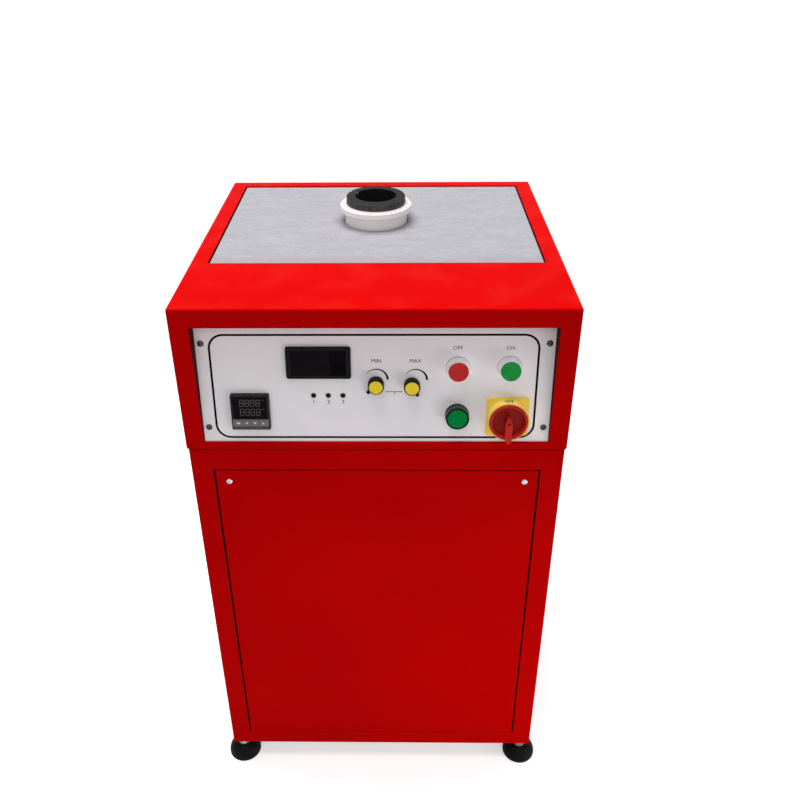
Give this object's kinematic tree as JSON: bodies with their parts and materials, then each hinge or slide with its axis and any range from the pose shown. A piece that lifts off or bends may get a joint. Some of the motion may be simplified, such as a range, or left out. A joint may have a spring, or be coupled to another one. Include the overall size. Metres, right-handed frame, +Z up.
{
  "type": "electric gold melting furnace",
  "caption": "Floor-standing induction furnace for melting gold: red steel cabinet on levelling feet, sloped control panel, fibre board top and a lift-out graphite crucible.",
  "frame": {"origin": "on the floor, below the middle of the furnace's bounding box", "axes": "+Z up, front and control panel facing -Y, +X to the right as seen from the front"},
  "size_m": [0.5036, 0.526, 0.8572],
  "materials": {
    "red_paint": "gloss enamel on steel",
    "zinc_steel": "zinc plated",
    "screw_chrome": "bright plated",
    "fibre_board": "matt, fibrous, mottled grey",
    "white_panel": "satin white with black printed lines",
    "black_plastic": "fine matt",
    "dark_window": "smoked acrylic",
    "grey_key": "soft satin",
    "yellow_plastic": "gloss",
    "red_plastic": "satin gloss",
    "red_button": "satin gloss",
    "green_button": "satin gloss",
    "green_lens": "gloss, translucent",
    "alarm_lens": "gloss, unlit dark red",
    "bezel_silver": "silver gloss",
    "graphite": "dark, slightly sooty graphite",
    "white_ceramic": "matt white",
    "firebrick": "porous, buff",
    "ceramic_wool": "fibrous white",
    "copper": "satin copper",
    "ferrite": "dark matt core",
    "winding_tape": "glossy tape over copper",
    "capacitor_can": "sleeved aluminium can",
    "capacitor_case": "moulded case",
    "aluminium": "extruded",
    "circuit_green": "solder mask",
    "hose_rubber": "smooth black",
    "brass": "turned",
    "foot_rubber": "matt black"
  },
  "bodies": {
    "cabinet": {"cabinet_shell": "red_paint", "front_access_panel": "red_paint", "rear_panel": "red_paint", "head_casing": "red_paint", "base_plate": "zinc_steel", "deck_plate": "zinc_steel", "component_plate": "zinc_steel", "cover_screws": "screw_chrome", "top_board": "fibre_board", "control_panel": "white_panel", "panel_meter": "black_plastic", "meter_window": "dark_window", "temperature_controller": "black_plastic", "controller_window": "dark_window", "potentiometers": "zinc_steel", "alarm_lamps": "alarm_lens", "button_bezels": "bezel_silver", "button_contact_blocks": "black_plastic", "pilot_lamp_housing": "black_plastic", "pilot_lamp_lens": "green_lens", "isolator_plate": "yellow_plastic", "isolator_body": "black_plastic", "ceramic_sleeve": "white_ceramic", "crucible_pedestal": "firebrick", "coil_insulation": "ceramic_wool", "induction_coil": "copper", "bus_bars": "copper", "transformer_core": "ferrite", "transformer_winding": "winding_tape", "tank_capacitor": "capacitor_case", "heat_sink": "aluminium", "power_modules": "black_plastic", "filter_capacitors": "capacitor_can", "control_board": "circuit_green", "fan_frame": "black_plastic", "fan_guard": "zinc_steel", "water_spigots": "brass", "coolant_hoses": "hose_rubber", "cable_gland": "black_plastic"},
    "crucible": {"crucible": "graphite"},
    "isolator_knob": {"isolator_knob": "red_plastic"},
    "stop_button": {"stop_button": "red_button"},
    "start_button": {"start_button": "green_button"},
    "min_power_knob": {"min_power_knob": "black_plastic", "min_power_knob_cap": "yellow_plastic"},
    "max_power_knob": {"max_power_knob": "black_plastic", "max_power_knob_cap": "yellow_plastic"},
    "key_set": {"key_set": "grey_key"},
    "key_shift": {"key_shift": "grey_key"},
    "key_down": {"key_down": "grey_key"},
    "key_up": {"key_up": "grey_key"},
    "fan_rotor": {"fan_rotor": "black_plastic"},
    "foot_front_left": {"foot_pad_front_left": "foot_rubber", "foot_stud_front_left": "zinc_steel"},
    "foot_front_right": {"foot_pad_front_right": "foot_rubber", "foot_stud_front_right": "zinc_steel"},
    "foot_rear_left": {"foot_pad_rear_left": "foot_rubber", "foot_stud_rear_left": "zinc_steel"},
    "foot_rear_right": {"foot_pad_rear_right": "foot_rubber", "foot_stud_rear_right": "zinc_steel"}
  },
  "joints": [
    {"name": "crucible_lift", "type": "slide", "parent": "cabinet", "child": "crucible", "axis": [0, 0, 1], "range_m": [0, 0.15]},
    {"name": "main_switch_turn", "type": "hinge", "parent": "cabinet", "child": "isolator_knob", "pos_m": [0.1643, -0.23703, 0.66951], "axis": [0, 0.9949, -0.1005], "range_deg": [0, 90]},
    {"name": "stop_press", "type": "slide", "parent": "cabinet", "child": "stop_button", "axis": [0, 0.9949, -0.1005], "range_m": [0, 0.004], "stiffness_N_per_m": 400, "springref_m": -0.001},
    {"name": "start_press", "type": "slide", "parent": "cabinet", "child": "start_button", "axis": [0, 0.9949, -0.1005], "range_m": [0, 0.004], "stiffness_N_per_m": 400, "springref_m": -0.001},
    {"name": "min_power_turn", "type": "hinge", "parent": "cabinet", "child": "min_power_knob", "pos_m": [0.001, -0.23246, 0.71468], "axis": [0, 0.9949, -0.1005], "range_deg": [0, 300]},
    {"name": "max_power_turn", "type": "hinge", "parent": "cabinet", "child": "max_power_knob", "pos_m": [0.0452, -0.23261, 0.71319], "axis": [0, 0.9949, -0.1005], "range_deg": [-300, 0]},
    {"name": "key_set_press", "type": "slide", "parent": "cabinet", "child": "key_set", "axis": [0, 0.9949, -0.1005], "range_m": [0, 0.0006], "stiffness_N_per_m": 300, "springref_m": -0.0005},
    {"name": "key_shift_press", "type": "slide", "parent": "cabinet", "child": "key_shift", "axis": [0, 0.9949, -0.1005], "range_m": [0, 0.0006], "stiffness_N_per_m": 300, "springref_m": -0.0005},
    {"name": "key_down_press", "type": "slide", "parent": "cabinet", "child": "key_down", "axis": [0, 0.9949, -0.1005], "range_m": [0, 0.0006], "stiffness_N_per_m": 300, "springref_m": -0.0005},
    {"name": "key_up_press", "type": "slide", "parent": "cabinet", "child": "key_up", "axis": [0, 0.9949, -0.1005], "range_m": [0, 0.0006], "stiffness_N_per_m": 300, "springref_m": -0.0005},
    {"name": "fan_spin", "type": "hinge", "parent": "cabinet", "child": "fan_rotor", "pos_m": [0.138, 0.23146, 0.4355], "axis": [0, 1, 0], "continuous": true},
    {"name": "foot_front_left_turn", "type": "hinge", "parent": "cabinet", "child": "foot_front_left", "pos_m": [-0.2265, -0.22774, 0], "axis": [0, 0, 1], "continuous": true},
    {"name": "foot_front_right_turn", "type": "hinge", "parent": "cabinet", "child": "foot_front_right", "pos_m": [0.2265, -0.22774, 0], "axis": [0, 0, 1], "continuous": true},
    {"name": "foot_rear_left_turn", "type": "hinge", "parent": "cabinet", "child": "foot_rear_left", "pos_m": [-0.2265, 0.21726, 0], "axis": [0, 0, 1], "continuous": true},
    {"name": "foot_rear_right_turn", "type": "hinge", "parent": "cabinet", "child": "foot_rear_right", "pos_m": [0.2265, 0.21726, 0], "axis": [0, 0, 1], "continuous": true}
  ]
}
